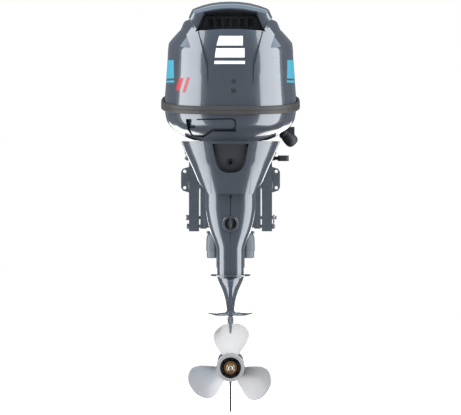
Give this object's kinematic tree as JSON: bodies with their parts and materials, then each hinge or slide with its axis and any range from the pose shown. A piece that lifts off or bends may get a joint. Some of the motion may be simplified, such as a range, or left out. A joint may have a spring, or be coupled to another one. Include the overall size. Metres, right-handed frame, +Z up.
{
  "type": "outboard motor",
  "caption": "Tiller-steered outboard motor with clamp and swivel brackets, lift-off cowl, engine, drive shaft housing, gearcase and three-blade propeller.",
  "frame": {"origin": "middle of the transom's top aft edge, between the two clamp brackets", "axes": "+X to starboard, +Y forward into the boat, +Z up with the motor at its normal running trim"},
  "size_m": [0.41, 0.976, 1.2085],
  "materials": {
    "cowl_paint": "glossy metallic dark grey enamel over moulded plastic",
    "gloss_grey_paint": "glossy metallic dark grey enamel over aluminium castings",
    "satin_grey_paint": "satin dark grey enamel over a sand casting",
    "dark_plastic": "fine moulded grain",
    "trim_rubber": "matt moulded rubber",
    "steel": "machined stainless steel",
    "cast_alloy": "as-cast aluminium",
    "dark_iron": "black painted iron",
    "propeller_paint": "smooth light grey enamel over cast aluminium",
    "bronze": "machined bronze",
    "anode_alloy": "dull cast anode alloy",
    "red_plastic": "smooth moulded plastic"
  },
  "bodies": {
    "clamp": {"starboard_clamp_bracket": "satin_grey_paint", "port_clamp_bracket": "satin_grey_paint", "tilt_bolt": "steel", "bracket_tie_bolt": "steel"},
    "thrust_rod": {"thrust_rod": "steel"},
    "thrust_rod_clip": {"thrust_rod_clip": "steel"},
    "starboard_clamp_pad": {"starboard_clamp_pad": "cast_alloy"},
    "port_clamp_pad": {"port_clamp_pad": "cast_alloy"},
    "starboard_clamp_screw": {"starboard_clamp_screw": "steel"},
    "port_clamp_screw": {"port_clamp_screw": "steel"},
    "swivel": {"swivel_bracket": "satin_grey_paint"},
    "tilt_lock": {"tilt_lock_lever": "dark_plastic"},
    "motor": {"steering_bracket": "satin_grey_paint", "drive_shaft_housing": "gloss_grey_paint", "starboard_mount_cover": "satin_grey_paint", "port_mount_cover": "satin_grey_paint", "exhaust_tube": "cast_alloy", "rear_apron": "cowl_paint", "recess_panel": "dark_plastic", "pilot_water_nozzle": "dark_plastic", "lower_cowl": "cowl_paint", "cowl_trim_band": "trim_rubber", "engine_block": "cast_alloy", "cylinder_head": "cast_alloy", "cam_cover": "dark_plastic", "intake_manifold": "dark_plastic", "starter_motor": "dark_iron", "oil_filter": "propeller_paint", "control_box": "dark_plastic", "fuel_filter": "propeller_paint", "timing_belt": "trim_rubber", "fuel_connector": "steel", "gearcase": "gloss_grey_paint", "starboard_water_screen": "dark_plastic", "port_water_screen": "dark_plastic", "trim_tab": "anode_alloy", "bearing_carrier": "cast_alloy", "water_pump_housing": "cast_alloy"},
    "cowl_latch": {"cowl_latch_lever": "cowl_paint"},
    "shift_lever": {"shift_lever": "dark_plastic"},
    "shift_rod": {"shift_rod": "steel"},
    "cover": {"upper_cowl": "cowl_paint", "intake_baffle": "dark_plastic"},
    "crank": {"crankshaft": "steel", "flywheel": "dark_iron", "drive_shaft": "steel", "pinion_gear": "steel", "water_pump_impeller": "trim_rubber"},
    "cam": {"cam_sprocket": "steel"},
    "forward_gear": {"forward_gear": "steel"},
    "reverse_gear": {"reverse_gear": "steel"},
    "propeller": {"propeller_shaft": "steel", "thrust_washer": "bronze", "propeller_bush": "trim_rubber", "propeller": "propeller_paint", "propeller_nut": "bronze"},
    "dog_clutch": {"dog_clutch": "steel"},
    "tiller": {"tiller_arm": "dark_plastic"},
    "twist_grip": {"twist_grip": "trim_rubber"},
    "stop_button": {"stop_button": "red_plastic"}
  },
  "joints": [
    {"name": "tilt", "type": "hinge", "parent": "clamp", "child": "swivel", "pos_m": [0, 0.008, 0.036], "axis": [-1, 0, 0], "range_deg": [0, 62]},
    {"name": "steer", "type": "hinge", "parent": "swivel", "child": "motor", "pos_m": [0, -0.095, 0], "axis": [0, 0, -1], "range_deg": [-40, 40]},
    {"name": "tilt_lock", "type": "hinge", "parent": "swivel", "child": "tilt_lock", "pos_m": [0.1, -0.035, 0.028], "axis": [1, 0, 0], "range_deg": [0, 40]},
    {"name": "thrust_rod_pull", "type": "slide", "parent": "clamp", "child": "thrust_rod", "axis": [-1, 0, 0], "range_m": [0, 0.27]},
    {"name": "clip_pull", "type": "slide", "parent": "clamp", "child": "thrust_rod_clip", "axis": [1, 0, 0], "range_m": [0, 0.05]},
    {"name": "starboard_screw_turn", "type": "hinge", "parent": "starboard_clamp_pad", "child": "starboard_clamp_screw", "pos_m": [0.109, 0.1, -0.05], "axis": [0, -1, 0], "range_deg": [0, 3600]},
    {"name": "starboard_pad_slide", "type": "slide", "parent": "clamp", "child": "starboard_clamp_pad", "axis": [0, -1, 0], "range_m": [0, 0.0301]},
    {"name": "port_screw_turn", "type": "hinge", "parent": "port_clamp_pad", "child": "port_clamp_screw", "pos_m": [-0.109, 0.1, -0.05], "axis": [0, -1, 0], "range_deg": [0, 3600]},
    {"name": "port_pad_slide", "type": "slide", "parent": "clamp", "child": "port_clamp_pad", "axis": [0, -1, 0], "range_m": [0, 0.0301]},
    {"name": "cowl_lift", "type": "slide", "parent": "motor", "child": "cover", "axis": [0, 0, 1], "range_m": [0, 0.34]},
    {"name": "cowl_latch", "type": "hinge", "parent": "motor", "child": "cowl_latch", "pos_m": [-0.118, -0.459, 0.113], "axis": [0.2452, 0.8558, -0.4554], "range_deg": [0, 22]},
    {"name": "shift", "type": "hinge", "parent": "motor", "child": "shift_lever", "pos_m": [0.15, -0.05, 0.112], "axis": [-1, 0, 0], "range_deg": [0, 50]},
    {"name": "shift_rod_lift", "type": "slide", "parent": "motor", "child": "shift_rod", "axis": [0, 0, 1], "range_m": [0, 0.018]},
    {"name": "clutch_slide", "type": "slide", "parent": "propeller", "child": "dog_clutch", "axis": [0, -1, 0], "range_m": [0, 0.007]},
    {"name": "crank_spin", "type": "hinge", "parent": "motor", "child": "crank", "pos_m": [0, -0.205, 0], "axis": [0, 0, 1], "continuous": true},
    {"name": "cam_spin", "type": "hinge", "parent": "motor", "child": "cam", "pos_m": [0, -0.345, 0], "axis": [0, 0, 1], "continuous": true},
    {"name": "forward_gear_spin", "type": "hinge", "parent": "motor", "child": "forward_gear", "pos_m": [0, -0.2, -0.586], "axis": [0, 1, 0], "continuous": true},
    {"name": "reverse_gear_spin", "type": "hinge", "parent": "motor", "child": "reverse_gear", "pos_m": [0, -0.2, -0.586], "axis": [0, 1, 0], "continuous": true},
    {"name": "propeller_spin", "type": "hinge", "parent": "motor", "child": "propeller", "pos_m": [0, -0.386, -0.586], "axis": [0, 1, 0], "continuous": true},
    {"name": "tiller_fold", "type": "hinge", "parent": "motor", "child": "tiller", "pos_m": [0, 0.052, 0.072], "axis": [1, 0, 0], "range_deg": [0, 75]},
    {"name": "throttle", "type": "hinge", "parent": "tiller", "child": "twist_grip", "pos_m": [0, 0.36, 0.08], "axis": [0, 1, 0], "range_deg": [0, 90]},
    {"name": "stop_push", "type": "slide", "parent": "tiller", "child": "stop_button", "axis": [-1, 0, 0], "range_m": [0, 0.003], "stiffness_N_per_m": 400}
  ],
  "couplings": [
    {"joint": "starboard_pad_slide", "follows": "starboard_screw_turn", "m_per_rad": 0.00047746},
    {"joint": "port_pad_slide", "follows": "port_screw_turn", "m_per_rad": 0.00047746},
    {"joint": "shift_rod_lift", "follows": "shift", "m_per_rad": 0.0205},
    {"joint": "clutch_slide", "follows": "shift", "m_per_rad": 0.0079},
    {"joint": "cam_spin", "follows": "crank_spin", "ratio": 0.5},
    {"joint": "forward_gear_spin", "follows": "crank_spin", "ratio": -0.48148},
    {"joint": "reverse_gear_spin", "follows": "crank_spin", "ratio": 0.48148},
    {"joint": "propeller_spin", "follows": "crank_spin", "ratio": -0.48148}
  ]
}
